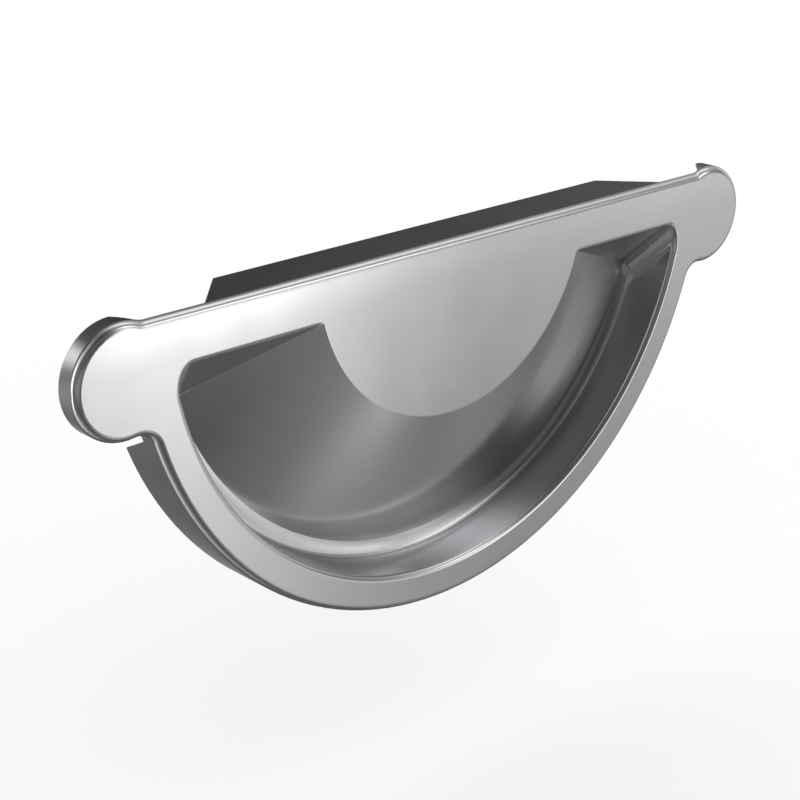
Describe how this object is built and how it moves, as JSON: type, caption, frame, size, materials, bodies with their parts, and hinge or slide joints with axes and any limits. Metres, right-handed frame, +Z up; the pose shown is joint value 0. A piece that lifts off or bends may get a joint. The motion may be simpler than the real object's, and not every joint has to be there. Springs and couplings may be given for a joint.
{
  "type": "gutter end cap",
  "caption": "Pressed sheet-steel end cap for a half-round gutter, with a dished recess, a shallow skirt, a top flange and round lobes over the gutter's beads.",
  "frame": {"origin": "on the gutter's axis, at the inner face of the cap's flat rim, where the gutter's cut end stops", "axes": "+Y into the gutter along its axis, +Z up, +X to the right seen from outside the gutter's end"},
  "size_m": [0.1778, 0.0115, 0.0764],
  "materials": {
    "coated_steel": "satin silver metallic coating"
  },
  "bodies": {
    "root": {"pressed_end_cap": "coated_steel"}
  },
  "joints": []
}
